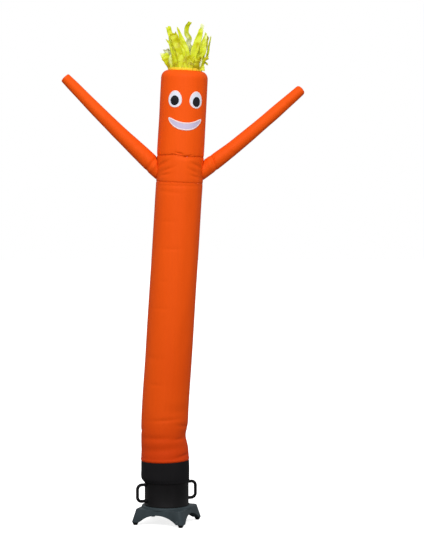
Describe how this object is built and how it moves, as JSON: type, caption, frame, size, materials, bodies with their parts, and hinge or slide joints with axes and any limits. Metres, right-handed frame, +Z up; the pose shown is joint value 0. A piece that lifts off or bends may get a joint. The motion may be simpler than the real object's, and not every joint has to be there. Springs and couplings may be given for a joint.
{
  "type": "inflatable air dancer on a blower",
  "caption": "Tall orange cloth tube figure with raised arms, a smiling face and ribbon hair, blown upright by a round blower on a plinth.",
  "frame": {"origin": "on the ground, under the middle of the whole's width and depth", "axes": "+Z up along the figure, -Y towards the side its face is on, +X to the viewer's right"},
  "size_m": [1.6259, 0.4644, 3.3793],
  "materials": {
    "orange_cloth": "coated woven nylon, slightly shiny",
    "black_cloth": "matt woven",
    "gold_cloth": "coated woven nylon",
    "lime_ribbon": "thin shiny nylon",
    "white_cloth": "matt woven",
    "pupil_cloth": "matt woven",
    "drum_plastic": "satin moulded",
    "base_plastic": "matt moulded",
    "rubber": "matt",
    "black_wire": "satin powder coat"
  },
  "bodies": {
    "root": {"sleeve": "black_cloth", "body_panel": "orange_cloth", "chest_panel": "orange_cloth", "arm_left": "orange_cloth", "arm_right": "orange_cloth", "head_panel": "orange_cloth", "eye_left": "white_cloth", "eye_right": "white_cloth", "pupil_left": "pupil_cloth", "pupil_right": "pupil_cloth", "mouth": "white_cloth", "hair_header": "gold_cloth", "hair_comb": "lime_ribbon", "base": "base_plastic", "foot_front": "rubber", "foot_right": "rubber", "foot_left": "rubber", "foot_back": "rubber", "drum": "drum_plastic", "outlet_grille": "black_wire", "handle_left": "drum_plastic", "handle_right": "drum_plastic", "cord_gland": "rubber"}
  },
  "joints": []
}
